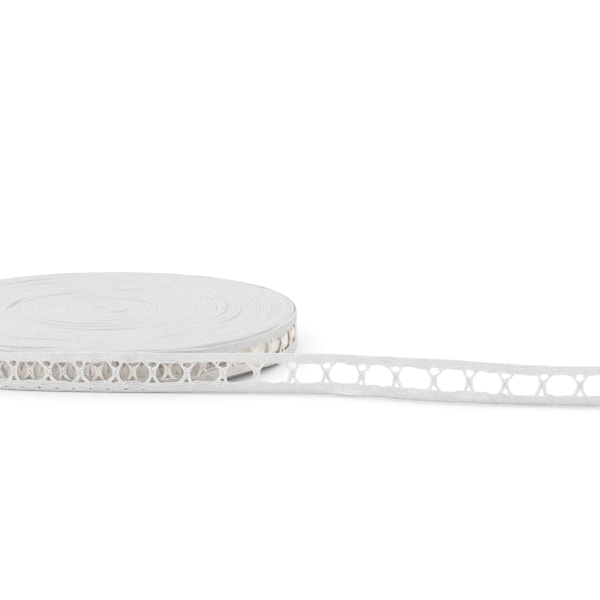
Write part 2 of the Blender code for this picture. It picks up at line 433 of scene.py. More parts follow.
def make_roll_cotton(name, pale, shade, with_painted_hollow_shade):
    """Cotton edges above and below, in the tones given, and between them the ladder painted warm
    and rosy: painted bounce light. If asked, the deep places between the crossings of the many
    turns behind get painted shade too: dark brown blots that grow towards the top."""
    material, tree, shader = cotton_shader(name)
    position, height, yarn_map = place_sockets(tree)
    edge = yarn_node(tree, position, yarn_map, pale, shade)
    # The ladder's warm yarn and its rosy blotches are painted bounce light.
    ladder = yarn_node(tree, position, yarn_map, PAINTED_BOUNCE_PALE, PAINTED_BOUNCE_DARK)
    painted_bounce_blotches = noise_node(tree, position, PAINTED_BOUNCE_BLOTCH_SCALE, 1.0)
    color = mix_node(tree, range_node(tree, painted_bounce_blotches, *PAINTED_BOUNCE_BLOTCH_RANGE), ladder.outputs["Color"], PAINTED_BOUNCE_ROSE)
    above = math_node(tree, "SUBTRACT", height, LACE_WIDTH / 2)
    # Painted shade: dark blots in the deep places, more of them higher up.
    if with_painted_hollow_shade:
        squashed = tree.nodes.new("ShaderNodeVectorMath")
        squashed.operation = "MULTIPLY"
        squashed.inputs[1].default_value = PAINTED_HOLLOW_SHADE_SQUASH
        tree.links.new(position, squashed.inputs[0])
        hollow_shade_noise = noise_node(tree, squashed.outputs["Vector"], PAINTED_HOLLOW_SHADE_SCALE, 1.0)
        painted_shade_by_height = math_node(tree, "MULTIPLY", above, PAINTED_HOLLOW_SHADE_RISE)
        painted_hollow_shade_mask = range_node(tree, math_node(tree, "ADD", hollow_shade_noise, painted_shade_by_height), *PAINTED_HOLLOW_SHADE_RANGE)
        color = mix_node(tree, painted_hollow_shade_mask, color, PAINTED_HOLLOW_SHADE)
    away = math_node(tree, "ABSOLUTE", above)
    outside = range_node(tree, away, LADDER_HALF_MM[0] * MM, LADDER_HALF_MM[1] * MM)
    finish_cotton(tree, shader, edge, mix_node(tree, outside, color, edge.outputs["Color"]))
    return material


# Painted light in these materials: shade at the loose end's foot, bounce light in the roll's ladder, shade on
# the inner turns' edges and, deep in the roll, shade in the hollows.
cotton_open = make_cotton("white cotton yarn", PALE, SHADE, PAINTED_FOOT_SHADE)
cotton_outer = make_roll_cotton("cotton yarn of the outermost turn", PALE, SHADE, with_painted_hollow_shade=False)
cotton_ladder = make_roll_cotton("cotton yarn of the hidden ladder", PAINTED_SHADE_EDGE_LIGHT, PAINTED_SHADE_EDGE_DARK, with_painted_hollow_shade=False)
cotton_deep = make_roll_cotton("cotton yarn deep in the roll", PAINTED_SHADE_EDGE_LIGHT, PAINTED_SHADE_EDGE_DARK, with_painted_hollow_shade=True)
for cotton in (cotton_open, cotton_outer, cotton_ladder, cotton_deep):
    print("material:", cotton.name)

# %% [markdown]
# Now the path of the lace. The loose end's route on the floor is a short table of points. The
# outermost turn follows the roll's outline, and every turn inside it lies one lace thickness
# further in and a little rounder. A place on the lace is its distance s from where the loose
# end leaves the roll: below zero in the roll, above zero in the loose end.

# %% The loose end's route
ROUTE = (
    ("x_mm", "y_mm", "height_mm"),
    (-37.5, -35.8, 9.80),
    (-29.6, -42.0, 9.60),
    (-18.2, -47.4, 9.35),
    (-6.8, -49.3, 9.65),
    (8.6, -50.4, 9.90),
    (28.6, -51.1, 9.85),
    (51.8, -52.5, 10.15),
    (61.0, -53.5, 10.15),
    (68.3, -55.4, 10.30),
    (79.0, -58.9, 10.50),
    (89.7, -61.0, 10.35),
    (100.4, -62.3, 9.95),
    (111.0, -63.3, 9.70),
    (124.0, -64.3, 9.95),
    (138.0, -65.0, 10.00),
)
LOOSE_START = 9.6 * MM
LOOSE_REPEATS = 20
PATH_STEPS = 1500
LOOSE_LENGTH = LOOSE_REPEATS * REPEAT


def smooth_route():
    corners = np.stack([column(ROUTE, name) for name in ("x_mm", "y_mm", "height_mm")], axis=1) * MM
    at = lengths(corners[:, :2])
    dense = np.linspace(0.0, at[-1], PATH_STEPS)
    line = np.stack([smooth(at, corners[:, k], dense) for k in range(3)], axis=1)
    return line, lengths(line[:, :2]) - LOOSE_START


route_line, route_at = smooth_route()
print("loose end", round(LOOSE_LENGTH / MM, 1), "mm long")

# %% The outline of the outermost turn
OUTLINE = (
    ("bearing_deg", "radius_mm"),
    (30, 56.7),
    (37, 56.5),
    (44, 55.8),
    (53, 54.3),
    (62, 52.7),
    (75, 51.6),
    (90, 51.1),
    (105, 50.8),
    (120, 51.0),
    (150, 51.3),
    (180, 52.0),
    (210, 53.1),
    (240, 51.6),
    (270, 51.4),
    (300, 52.8),
)
SOLID_THICKNESS = 1.0 * MM
CLEARANCE = 0.3 * MM
FRONT_BEARING_END = 23.0
FRONT_STEPS = 13


def route_frame(s):
    """Points of the loose end's route at s, and the directions square to it, outwards."""
    reach = REPEAT / 8
    ahead = points_at(s + reach, route_at, route_line)
    behind = points_at(s - reach, route_at, route_line)
    forward = (ahead - behind) / np.linalg.norm(ahead - behind, axis=-1, keepdims=True)
    outward = np.stack([forward[..., 1], -forward[..., 0]], axis=-1)
    return points_at(s, route_at, route_line), outward


def outline_rows():
    """Bearings and radii of the outermost turn's outer face, once round."""
    s = np.linspace(0.0, LOOSE_LENGTH, PATH_STEPS)
    point, outward = route_frame(s)
    inner = point - (SOLID_THICKNESS / 2 + CLEARANCE) * outward
    bearing = np.degrees(np.arctan2(inner[:, 0], -inner[:, 1]))
    keep = np.arange(len(s))[bearing <= FRONT_BEARING_END]
    keep = keep[np.linspace(0, len(keep) - 1, FRONT_STEPS).astype(int)]
    radius = np.hypot(inner[:, 0], inner[:, 1])
    step = SOLID_THICKNESS + CLEARANCE
    bearings = np.concatenate([bearing[keep], column(OUTLINE, "bearing_deg"), [bearing[keep[0]] + 360.0]])
    radii = np.concatenate([radius[keep], column(OUTLINE, "radius_mm") * MM, [radius[keep[0]] + step]])
    return bearings, radii


rim_bearings, rim_radii = outline_rows()
START_BEARING = float(rim_bearings[0])
print("outermost turn starts at bearing", round(START_BEARING, 1))

# %% The spiral of all the turns
TURN = 0.83 * MM
STEPS_A_TURN = 720
CORE_RADIUS = 0.6 * MM
CALM_RADIUS = 8 * MM
TURN_SHIFT = 0.09 * MM
TURN_SHIFT_WAVE = 1.7
ROUNDING = 2.5
WOBBLE = 0.05 * MM
WOBBLE_DEG = 23.0
GAP_CLOSES = 12
CLOSING_DEG = 30.0
OVAL_REACH = 5.0 * MM
OVAL_SHARE = 0.30
OVAL_BEARING_DEG = 80.0
GAP = (
    ("bearing_deg", "spread_deg", "gap_mm"),
    (38, 22, 1.50),
    (200, 25, 0.08),
    (318, 16, 0.10),
)


def outer_gap(bearing):
    """Open space between the outermost turn and the one inside it."""
    gap = np.zeros_like(bearing)
    for row in rows_of(GAP):
        gap += row["gap_mm"] * MM * hump(bearing, row["bearing_deg"], row["spread_deg"])
    return gap


def packed_outline(bearing):
    """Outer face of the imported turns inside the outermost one, the same after a whole turn."""
    bearing = START_BEARING + (bearing - START_BEARING) % 360.0
    left = (START_BEARING + 360.0 - bearing) / 360.0
    rim = smooth(rim_bearings, rim_radii, bearing)
    closing = (rim_radii[-1] - rim_radii[0] - TURN) * hump(left * 360.0, 0, CLOSING_DEG)
    return rim - TURN * (1 - left) - outer_gap(bearing) * np.minimum(1.0, left * GAP_CLOSES) - closing


def winding():
    """The lace's middle line in the roll: points, turn counts from outside and bearings."""
    mean = float(np.mean(packed_outline(np.linspace(0, 360, STEPS_A_TURN + 1)[:-1])))
    last = 1.0 + (mean - CORE_RADIUS) / TURN
    count = np.linspace(0.0, last, int(last * STEPS_A_TURN))
    bearing = START_BEARING + 360.0 * (1.0 - count)
    depth = np.maximum(count - 1.0, 0.0)
    ring = mean - TURN * depth
    settled = np.clip(depth / 2, 0, 1)
    turn = np.radians(bearing)
    for waves in (1, 2, 3):
        shift = uneven(count, TURN_SHIFT_WAVE, TURN_SHIFT, 11 + waves) * np.cos(waves * turn)
        shift += uneven(count, TURN_SHIFT_WAVE, TURN_SHIFT, 15 + waves) * np.sin(waves * turn)
        ring = ring + shift * settled * ramp(ring, 0, CALM_RADIUS) / waves
    oval = OVAL_SHARE * np.exp(-ring / OVAL_REACH) * np.cos(2 * (turn - math.radians(OVAL_BEARING_DEG)))
    ring = ring * (1 + oval)
    share = np.clip(ring / mean, 0, 1)
    packed = ring + (packed_outline(bearing) - mean) * share ** ROUNDING
    rim = smooth(rim_bearings, rim_radii, np.clip(bearing, START_BEARING, START_BEARING + 360.0))
    outer = np.where(count < 1.0, rim, packed)
    wobble = uneven(count * 360.0, WOBBLE_DEG, WOBBLE, 12) * np.clip(depth, 0, 1)
    middle = outer - LACE_THICKNESS / 2 + wobble
    return np.stack([middle * np.sin(turn), -middle * np.cos(turn)], axis=1), count, bearing


wound, wound_count, wound_bearing = winding()
wound_at = -lengths(wound)
tail_at = np.linspace(0.0, LOOSE_LENGTH + REPEAT / 2, PATH_STEPS)[1:]
tail, _ = route_frame(tail_at)
path_at = np.concatenate([wound_at[::-1], tail_at])
path_xy = np.concatenate([wound[::-1], tail])
forward = np.gradient(path_xy, path_at, axis=0)
forward /= np.linalg.norm(forward, axis=1, keepdims=True)
path_out = np.stack([forward[:, 1], -forward[:, 0]], axis=1)
turn_count_at = wound_count[::-1]
bearing_at = wound_bearing[::-1]
print("turns", round(float(wound_count[-1]), 1), "length", round(float(path_at[-1] - path_at[0]), 2), "m")


def s_of_turn(count):
    """Distance s at which the lace has this many turns outside it."""
    return float(np.interp(count, wound_count, wound_at))


def place_in_roll(s):
    """How many turns lie outside the lace at s, and the bearing there."""
    return [np.interp(s, path_at[:len(known)], known) for known in (turn_count_at, bearing_at)]


def turned_from(bearing, other):
    """Degrees from one bearing to another, the short way round."""
    return from_nearest(bearing - other, 360.0)


def along_path(s):
    """Points of the path at s, and the directions square to it, outwards."""
    return points_at(s, path_at, path_xy), points_at(s, path_at, path_out)


# %% [markdown]
# Laying threads on the path: a thread's point is given by its place along the lace, its place
# through the cloth (outwards is positive) and its height. The lace isn't quite even in width
# and leans a little here and there. The loose end's foot curls under, and in one place it folds
# outwards. At the front the roll's top dips, and on the right of the front the foot of the
# outer turns is lifted off the table, so it is dark under them.

# %% Laying flat lace on the path
LIFT = 2.25 * MM
LIFT_BEARING = 43.0
LIFT_SPREAD = 18.5
LIFT_TURNS = 3.2
TOP_LIFT = 0.35 * MM
FRONT_DIP = 0.55 * MM
FRONT_DIP_BEARING = -12.0
FRONT_DIP_SPREAD = 26.0
FRONT_DIP_TURNS = 3.0
JOINING = 20 * MM
LEAN_FROM, LEAN_OVER, LEAN_PIVOT = 40 * MM, 25 * MM, 0.3
FOLD_AT, FOLD_SPREAD, FOLD_REACH = 95.0 * MM, 3.6 * MM, 0.9 * MM
FOLD_SHARE, FOLD_SHARE_SPREAD = 0.075, 0.055
CURL, CURL_SHARE, CURL_BEND = 0.15 * MM, 0.16, 1.5
FREE_CURL, FREE_FROM = 0.70 * MM, 45 * MM
FAR_CURL, FAR_FROM = 0.35 * MM, 95 * MM
CURL_OVER = 30 * MM
NESTLE, NESTLE_IN = 0.28 * MM, 15 * MM
NESTLE_END, NESTLE_OUT = 62 * MM, 20 * MM


def lift_share(s):
    """Where the outer turns are lifted off the floor, on the right of the front: 0 to 1."""
    count, bearing = place_in_roll(s)
    away = turned_from(bearing, LIFT_BEARING)
    return hump(away, 0, LIFT_SPREAD) * np.exp(-(count / LIFT_TURNS) ** 4) * (s < 0)


def lace_height(s):
    """How high the lace stands, along the lace."""
    loose = np.interp(s, route_at, route_line[:, 2])
    loose = loose + waver(s, "top edge, loose end")
    level = LACE_WIDTH + waver(s, "top edge, long") + waver(s, "top edge, short")
    near = ramp(s, -JOINING, JOINING)
    count, bearing = place_in_roll(s)
    away = turned_from(bearing, FRONT_DIP_BEARING)
    dip = FRONT_DIP * hump(away, 0, FRONT_DIP_SPREAD) * hump(count, 0, FRONT_DIP_TURNS) * (s < 0)
    return (level - dip + TOP_LIFT * lift_share(s)) * (1 - near) + loose * near


def lay(points):
    """World places of points given as (along, through, up) in flat lace."""
    s, through, up = points[..., 0], points[..., 1], points[..., 2]
    share = up / LACE_WIDTH
    lean = waver(s, "lean") * ramp(s, LEAN_FROM, LEAN_OVER)
    fold = hump(s, FOLD_AT, FOLD_SPREAD)
    through = through + lean * (share - LEAN_PIVOT)
    through = through + FOLD_REACH * fold * hump(share, FOLD_SHARE, FOLD_SHARE_SPREAD)
    free = ramp(s, FREE_FROM, CURL_OVER)
    far = ramp(s, FAR_FROM, CURL_OVER)
    curl = CURL + FREE_CURL * free + FAR_CURL * far + waver(s, "curl of the foot") * free
    through = through - curl * (1 - fold) * np.clip(1 - share / CURL_SHARE, 0, 1) ** CURL_BEND * (s > 0)
    through = through - NESTLE * ramp(s, 0, NESTLE_IN) * ramp(-s, -NESTLE_END, NESTLE_OUT)
    base, out = along_path(s)
    flat = base + through[..., None] * out
    foot_up = LIFT * lift_share(s)
    return np.concatenate([flat, (foot_up + share * (lace_height(s) - foot_up))[..., None]], axis=-1)


print("loose end's far end at", np.round(lay(np.array([LOOSE_LENGTH, 0.0, 0.0])) / MM, 1))

# %% [markdown]
# The lace itself. Each of its two bands is close cloth: seven threads run along it, and one
# worker thread goes to and fro between them, over one and under the next. At every repeat two
# pairs of threads leave each band, are plaited flat half way, where a binding thread holds
# them, and go on to the other band. Between the crossings the lace is open: that is the ladder.
# Cotton threads are never quite straight, so no two crossings are alike. The upper band
# arches a little over each crossing. The lower band has small eyelets as far as it leans on
# the roll, and further on the ladder sits a little higher in the lace.

# %% The threads of a stretch of flat lace
BAND_WIDTH = 2.78 * MM
RUNNERS = 7
FIRST_RUNNER = 0.335 * MM
RUNNER_SPACING = 0.3625 * MM
RUNNER_SHARES = [(FIRST_RUNNER + k * RUNNER_SPACING) / BAND_WIDTH for k in range(RUNNERS)]
RUNNER_RADIUS = 0.192 * MM
RUNNER_WAVE = 0.075 * MM
PASSES = 12
PASS = REPEAT / PASSES
WORKER_RADIUS = 0.140 * MM
WORKER_WAVE = 0.205 * MM
WORKER_LEAN = 0.16 * PASS
EDGE_LOOP = 0.25 * MM
EDGE_LOOP_TURN = (0.33, 0.67)
EDGE_LOOP_THROUGH = 0.06 * MM
CROSSING_JITTER = 0.30 * MM
JITTER_STEP = 1.37
CROSSING_DRIFT = 1.5 * MM
DRIFT_CROSSINGS = 7.0
WOUND_SHIFT = -2.7 * MM
WOUND_SHIFT_OVER = 60 * MM
TURN_SHIFTS = (2.9 * MM, 2.2 * MM)
TURN_SHIFT_OVER = 80 * MM
EYELET_PITCH = REPEAT / 2
EYELET_START = REPEAT / 4
EYELET_SPREAD = 0.42 * MM
EYELET_SHARE = 0.352
EYELET_SHARE_SPREAD = 0.22
EYELET_REACH = 0.060
EYELETS_END = 52.0 * MM
ARCH_RISE = 0.24 * MM
ARCH_REACH = 1.1 * MM
CROSS_RADIUS = 0.255 * MM
CROSSING_SHIFT = 0.20 * MM
CROSSING_SKEW = 0.30 * MM
CROSSING_SLIP = 0.14 * MM
LEG_UNEVEN = 0.09 * MM
LEG_WAVE = 1.1 * MM
LEG_SPREAD = 0.26
LEG_BEND = 1.3 * MM
LEG_BEND_FROM = 0.6
PLAIT_OVER = 0.15 * MM
BINDER_RADIUS = 0.155 * MM
BINDER_PASSES = 4
BINDER_REACH = 0.66 * MM
BINDER_RISE = 1.65 * MM
BINDER_OVER = 0.24 * MM
BINDER_PLACES = (-1.0, -0.45, 0.0, 0.45, 1.0)
LADDER_RISE = 0.28 * MM
RISE_FROM = 40.0 * MM
RISE_OVER = 25.0 * MM
WIDE_FOOT = 0.24 * MM
WIDE_FOOT_AT = 100.0 * MM
WIDE_FOOT_SPREAD = 22.0 * MM

# The four threads of a crossing, seen from the front: how far each is to the right of the
# crossing's middle at each height, and how far in front it is there. Threads a and b come from
# the left at the top, c and d are the mirror images of b and a, and all four are plaited flat
# in the middle.
CROSSING = (
    ("up_mm", "a_mm", "b_mm", "a_front", "b_front"),
    (2.84, -2.15, -1.10, 0.0, 0.0),
    (2.42, -1.68, -0.98, 0.2, -0.2),
    (2.09, -1.38, -1.14, 0.7, -0.7),
    (1.79, -1.24, -1.22, 0.3, -0.3),
    (1.51, -1.08, -1.10, -0.4, 0.4),
    (1.25, -0.58, -0.88, 0.0, 0.0),
    (0.91, -0.14, -0.70, 1.0, 0.0),
    (0.47, 0.20, -0.62, 0.0, 0.0),
    (0.05, 0.42, -0.40, -1.0, -1.0),
    (-0.33, 0.60, -0.20, 0.0, 0.0),
    (-0.65, 0.62, 0.00, 0.0, 1.0),
    (-0.93, 0.68, 0.22, 0.0, 0.0),
    (-1.21, 0.78, 0.42, 0.4, -0.4),
    (-1.53, 0.94, 0.58, 0.5, -0.5),
    (-1.86, 1.14, 0.74, -0.3, 0.3),
    (-2.28, 1.54, 0.94, -0.3, 0.3),
    (-2.84, 2.15, 1.20, 0.0, 0.0),
)
STRANDS = (("a", "a", 1), ("b", "b", 1), ("c", "b", -1), ("d", "a", -1))
STRAND_APART = 0.007
CROSSING_APART = 0.031
CHANCE_SEED = 1000


def crossing_places(s_from, s_to):
    """The crossings in a stretch: where each stands, and how it differs from the others."""
    number = steps_inside(s_from, s_to, REPEAT)
    place = number * REPEAT
    drift = uneven(number, DRIFT_CROSSINGS, CROSSING_DRIFT, 35) + WOUND_SHIFT
    drift = drift * ramp(-place, 0, WOUND_SHIFT_OVER)
    for turn, shift in enumerate(TURN_SHIFTS, start=1):
        drift = drift + shift * ramp(-place, -s_of_turn(turn), TURN_SHIFT_OVER)
    return place + drift + uneven(number * JITTER_STEP, 1.0, CROSSING_JITTER, 31), number


def ladder_rise(s):
    """How much higher the ladder sits in the lace once the lace has left the roll."""
    return LADDER_RISE * ramp(s, RISE_FROM, RISE_OVER)


def band_up(s, share, top):
    """Height of a place across a band: share 0 at the lace's outer edge, 1 at the ladder."""
    beside = from_nearest(s - EYELET_START, EYELET_PITCH)
    opening = EYELET_REACH * hump(beside, 0, EYELET_SPREAD) * hump(share, EYELET_SHARE, EYELET_SHARE_SPREAD)
    edge = waver(s + top * 0.4, "inner edge of a band") + waver(s + top * 0.7, "inner edge, long")
    outer = waver(s + top * 0.9, "outer edge of a band")
    arch = ARCH_RISE * hump(from_nearest(s, REPEAT), 0, ARCH_REACH) * top
    if top:
        rise = -ladder_rise(s)
    else:
        share = share + opening * np.sign(share - EYELET_SHARE) * ramp(-s, -EYELETS_END, REPEAT)
        rise = ladder_rise(s) + WIDE_FOOT * hump(s, WIDE_FOOT_AT, WIDE_FOOT_SPREAD)
    up = outer + share * (BAND_WIDTH + rise + edge * share - arch * share ** 3 - outer)
    return LACE_WIDTH - up if top else up


def runner_threads(s_from, s_to, step, top):
    """The threads that run along a band, each waving over and under the worker."""
    s = np.arange(s_from, s_to + step / 2, step)
    s = np.minimum(s, s_to)
    threads = []
    for k, share in enumerate(RUNNER_SHARES):
        side = 1 if k % 2 else -1
        wave = side * RUNNER_WAVE * np.sin(np.pi * s / PASS)
        up = band_up(s, share, top) + waver(s, "runner", k)
        threads.append(np.stack([s, wave, up], axis=1))
    return threads


def worker_thread(s_from, s_to, top, between):
    """The worker's zigzag; between also gives it points between the runners."""
    first = round(s_from / PASS)
    last = round(s_to / PASS)
    points = []
    for number in range(first, last):
        order = list(range(RUNNERS)) if number % 2 == 0 else list(range(RUNNERS))[::-1]
        middle = (number + 0.5) * PASS
        for rank, k in enumerate(order):
            side = (1 if (k + number) % 2 == 0 else -1)
            slant = WORKER_LEAN * (rank / (RUNNERS - 1) - 0.5) * 2
            points.append((middle + slant, side * WORKER_WAVE, RUNNER_SHARES[k]))
            if between and rank < RUNNERS - 1:
                half = (RUNNER_SHARES[k] + RUNNER_SHARES[order[rank + 1]]) / 2
                points.append((middle + slant + WORKER_LEAN / (RUNNERS - 1), 0.0, half))
        edge_share = 1 - EDGE_LOOP / BAND_WIDTH if number % 2 == 0 else EDGE_LOOP / BAND_WIDTH
        points.append((middle + EDGE_LOOP_TURN[0] * PASS, EDGE_LOOP_THROUGH, edge_share))
        points.append((middle + EDGE_LOOP_TURN[1] * PASS, -EDGE_LOOP_THROUGH, edge_share))
    points = np.array(points)
    s = np.clip(points[:, 0] + waver(points[:, 0], "worker"), s_from, s_to)
    return np.stack([s, points[:, 1], band_up(s, points[:, 2], top)], axis=1)


def crossing_chance(number):
    """Eight numbers from -1 to 1 that make this crossing differ from the others."""
    return np.random.default_rng(CHANCE_SEED + int(number)).uniform(-1.0, 1.0, 8)


def crossing_middle(place, chance):
    """Height of a crossing's middle."""
    return LACE_WIDTH / 2 + CROSSING_SHIFT * chance[0] + ladder_rise(place)


def crossing_threads(s_from, s_to, steps):
    """The four threads of each crossing, which go from the upper band to the lower one."""
    up_rows = column(CROSSING, "up_mm")[::-1] * MM
    far = up_rows[-1]
    up = np.linspace(-far, far, steps)
    threads = []
    for place, number in zip(*crossing_places(s_from, s_to)):
        chance = crossing_chance(number)
        middle = crossing_middle(place, chance)
        reach = np.where(up > 0, LACE_WIDTH / 2 - middle, middle - LACE_WIDTH / 2) + far
        height = middle + up / far * reach
        bent = np.clip(np.abs(up) / LEG_BEND - LEG_BEND_FROM, 0.0, 1.0)
        skew = CROSSING_SKEW * chance[1] * up / far + CROSSING_SLIP * chance[2]
        mirror = 1 if chance[3] > 0 else -1
        for strand, like, side in STRANDS:
            across = mirror * side * smooth(up_rows, column(CROSSING, like + "_mm")[::-1] * MM, up)
            front = side * smooth(up_rows, column(CROSSING, like + "_front")[::-1], up)
            leg_chance = np.where(across < 0, np.where(up > 0, chance[4], chance[5]),
                                  np.where(up > 0, chance[6], chance[7]))
            own_stretch = CROSSING_APART * (number + 50) + STRAND_APART * ord(strand)
            bumps = uneven(height + own_stretch, LEG_WAVE, LEG_UNEVEN, 36)
            along = place + skew + across * (1 + LEG_SPREAD * bent * leg_chance) + bumps
            threads.append(np.stack([along, PLAIT_OVER * front, height], axis=1))
    return threads


def binder_threads(s_from, s_to):
    """The worker that is woven to and fro through the flat middle of each crossing."""
    threads = []
    for place, number in zip(*crossing_places(s_from, s_to)):
        chance = crossing_chance(number)
        middle = crossing_middle(place, chance)
        points = []
        for turn in range(BINDER_PASSES):
            height = middle + BINDER_RISE * ((turn + 0.5) / BINDER_PASSES - 0.5)
            side = 1 if turn % 2 else -1
            for share in BINDER_PLACES:
                over = BINDER_OVER * math.cos(math.pi * (share * 2 + turn)) if abs(share) < 1 else 0.0
                points.append((place + CROSSING_SLIP * chance[2] + side * share * BINDER_REACH, over, height))
        threads.append(np.array(points))
    return threads


BAND_STEPS = {"fine": 24, "coarse": 20}
CROSSING_STEPS = {"fine": 25, "coarse": 19, "hidden": 13}


def lace_threads(s_from, s_to, detail):
    """All threads of a stretch of lace, laid on the path, with the radius of each."""
    step = REPEAT / BAND_STEPS[detail]
    threads = []
    for top in (False, True):
        threads += [(line, RUNNER_RADIUS) for line in runner_threads(s_from, s_to, step, top)]
        threads.append((worker_thread(s_from, s_to, top, between=detail == "fine"), WORKER_RADIUS))
    threads += [(line, CROSS_RADIUS) for line in crossing_threads(s_from, s_to, CROSSING_STEPS[detail])]
    threads += [(line, BINDER_RADIUS) for line in binder_threads(s_from, s_to)]
    return [(lay(line), radius) for line, radius in threads]


print("one repeat has", 2 * RUNNERS, "runners, 2 workers, 4 crossing threads and 1 binder")


# %% [markdown]
# A thread becomes a surface by setting a small ring of points round it at each of its places
# and joining each ring to the next. The rings must not spin about the thread, so each takes
# over the last one's direction and only tips it to stay square to the thread. A curve with a
# bevel does the same, but here each ring also gets its place on the yarn's UV map.

# %% Skinning rings of points into one mesh
def pick(thing):
    """Selects one object alone and makes it active."""
    bpy.ops.object.select_all(action="DESELECT")
    thing.select_set(True)
    bpy.context.view_layer.objects.active = thing


def skin(rings, along, around):
    """Points, faces and UV places of a closed skin over rings; around has one more place."""
    stations, corners = rings.shape[:2]
    station, corner = np.meshgrid(np.arange(stations - 1), np.arange(corners), indexing="ij")
    face = ((station, corner), (station + 1, corner), (station + 1, corner + 1), (station, corner + 1))
    quads = np.stack([a * corners + b % corners for a, b in face], axis=-1)
    places = np.stack([np.stack([along[a], around[b]], axis=-1) for a, b in face], axis=-2)
    first = np.arange(corners)
    ends = [first, ((stations - 1) * corners + first)[::-1]]
    return rings.reshape(-1, 3), quads.reshape(-1, 4), places.reshape(-1, 2), ends


def mesh_of(name, skins, material):
    """One object of many skins, with its faces turned outwards."""
    start = 0
    points, quads, places, caps = [], [], [], []
    for ring_points, ring_quads, ring_places, ends in skins:
        points.append(ring_points)
        quads.append(ring_quads + start)
        places.append(ring_places)
        caps += [end + start for end in ends]
        start += len(ring_points)
    points, quads, places = np.concatenate(points), np.concatenate(quads), np.concatenate(places)
    sizes = np.concatenate([np.full(len(quads), 4), [len(cap) for cap in caps]]).astype(np.int32)
    corners = np.concatenate([quads.ravel()] + caps).astype(np.int32)
    cap_places = np.zeros((len(corners) - len(places), 2))
    data = bpy.data.meshes.new(name)
    data.vertices.add(len(points))
    data.vertices.foreach_set("co", points.ravel())
    data.loops.add(len(corners))
    data.loops.foreach_set("vertex_index", corners)
    data.polygons.add(len(sizes))
    data.polygons.foreach_set("loop_start", np.concatenate([[0], np.cumsum(sizes)[:-1]]).astype(np.int32))
    data.polygons.foreach_set("loop_total", sizes)
    data.update(calc_edges=True)
    yarn_map = data.uv_layers.new(name="yarn map")
    yarn_map.data.foreach_set("uv", np.concatenate([places, cap_places]).ravel())
    data.materials.append(material)
    thing = bpy.data.objects.new(name, data)
    bpy.context.scene.collection.objects.link(thing)
    pick(thing)
    bpy.ops.object.mode_set(mode="EDIT")
    bpy.ops.mesh.select_all(action="SELECT")
    bpy.ops.mesh.normals_make_consistent(inside=False)
    bpy.ops.object.mode_set(mode="OBJECT")
    bpy.ops.object.shade_smooth()
    return thing


ANY_WAY = (0.123, 0.456, 0.789)


def thread_skin(line, radius, sides):
    """The skin of one round thread."""
    heading = np.gradient(line, axis=0)
    heading /= np.linalg.norm(heading, axis=1, keepdims=True)
    square = np.empty_like(line)
    side = np.cross(heading[0], ANY_WAY)
    for place, way_on in enumerate(heading):
        side = side - side.dot(way_on) * way_on
        side /= math.sqrt(side.dot(side))
        square[place] = side
    other = np.cross(heading, square)
    turn = (np.arange(sides) / sides * 2 * np.pi)[:, None]
    rings = line[:, None] + radius * (np.cos(turn) * square[:, None] + np.sin(turn) * other[:, None])
    return skin(rings, lengths(line) / MM, np.linspace(0.0, 1.0, sides + 1))


def yarn_mesh(name, threads, sides, material):
    return mesh_of(name, [thread_skin(line, radius, sides) for line, radius in threads], material)


def triangles(thing):
    thing.data.calc_loop_triangles()
    return len(thing.data.loop_triangles)


print("a thread of 3 places has", len(thread_skin(np.eye(3), 0.1, 6)[1]), "faces on its side")

# %% The loose end and the outermost turn
FINE_SIDES = 6
COARSE_SIDES = 4
loose_lace = yarn_mesh("loose_lace", lace_threads(0.0, LOOSE_LENGTH, "fine"), FINE_SIDES, cotton_open)
print("loose_lace", triangles(loose_lace), "triangles")
FIRST_TURN_END = s_of_turn(1.0)
outer_turn = yarn_mesh("outer_turn", lace_threads(FIRST_TURN_END, 0.0, "coarse"), COARSE_SIDES, cotton_outer)
print("outer_turn", triangles(outer_turn), "triangles")

# %% [markdown]
# Inside the outermost turn only the ladder shows, through the holes, and the bands' edges show
# from above. There the worker thread turns back round the edge, so each turn's edge is a row of
# small beads. The second turn has swept bands and simpler crossings, and on the right its
# threads lie bunched in the ladder. The third turn closes the view through the ladder with one
# lumpy wall, and all the turns inside it are one swept band of full height. A sweep repeats one
# section along the path. It has two stations to a bead: a high and wide one, and a low and
# narrow one.

# %% The sections and the grooves of the swept turns
BEAD_STATION = PASS / 2
BEAD_DEPTH = 0.08 * MM
BEAD_NARROW = 0.14
SWEPT_THICKER = 1.22
LUMP_WAVE = 1.8 * MM
BAND_SECTION = (
    ("across", "edge", "in_mm", "beaded"),
    (0.00, "high", 0.00, 1),
    (0.68, "high", 0.04, 1),
    (1.00, "high", 0.26, 1),
    (1.00, "low", 0.34, 1),
    (0.60, "low", 0.04, 0),
    (-0.60, "low", 0.04, 0),
    (-1.00, "low", 0.34, 1),
    (-1.00, "high", 0.26, 1),
    (-0.68, "high", 0.04, 1),
)
TURN_SECTION = (
    ("across", "edge", "in_mm", "beaded"),
    (0.00, "high", 0.00, 1),
    (0.68, "high", 0.04, 1),
    (1.00, "high", 0.22, 1),
    (0.85, "low", 0.02, 0),
    (-0.85, "low", 0.02, 0),
    (-1.00, "high", 0.22, 1),
    (-0.68, "high", 0.04, 1),
)
WALL_SECTION = (
    ("across", "edge", "in_mm", "beaded", "lump_mm"),
    (0.00, "high", 0.00, 1, 0),
    (0.68, "high", 0.04, 1, 0),
    (1.00, "high", 0.26, 1, 0),
    (1.00, "high", 1.60, 0, 0),
    (0.85, "high", 2.90, 0, 0.40),
    (0.85, "high", 4.20, 0, 0.60),
    (0.85, "high", 5.50, 0, 0.60),
    (0.85, "high", 6.80, 0, 0.40),
    (0.85, "low", 1.40, 0, 0),
    (0.85, "low", 0.02, 0, 0),
    (-0.85, "low", 0.02, 0, 0),
    (-1.00, "high", 1.10, 0, 0),
    (-1.00, "high", 0.26, 1, 0),
    (-0.68, "high", 0.04, 1, 0),
)
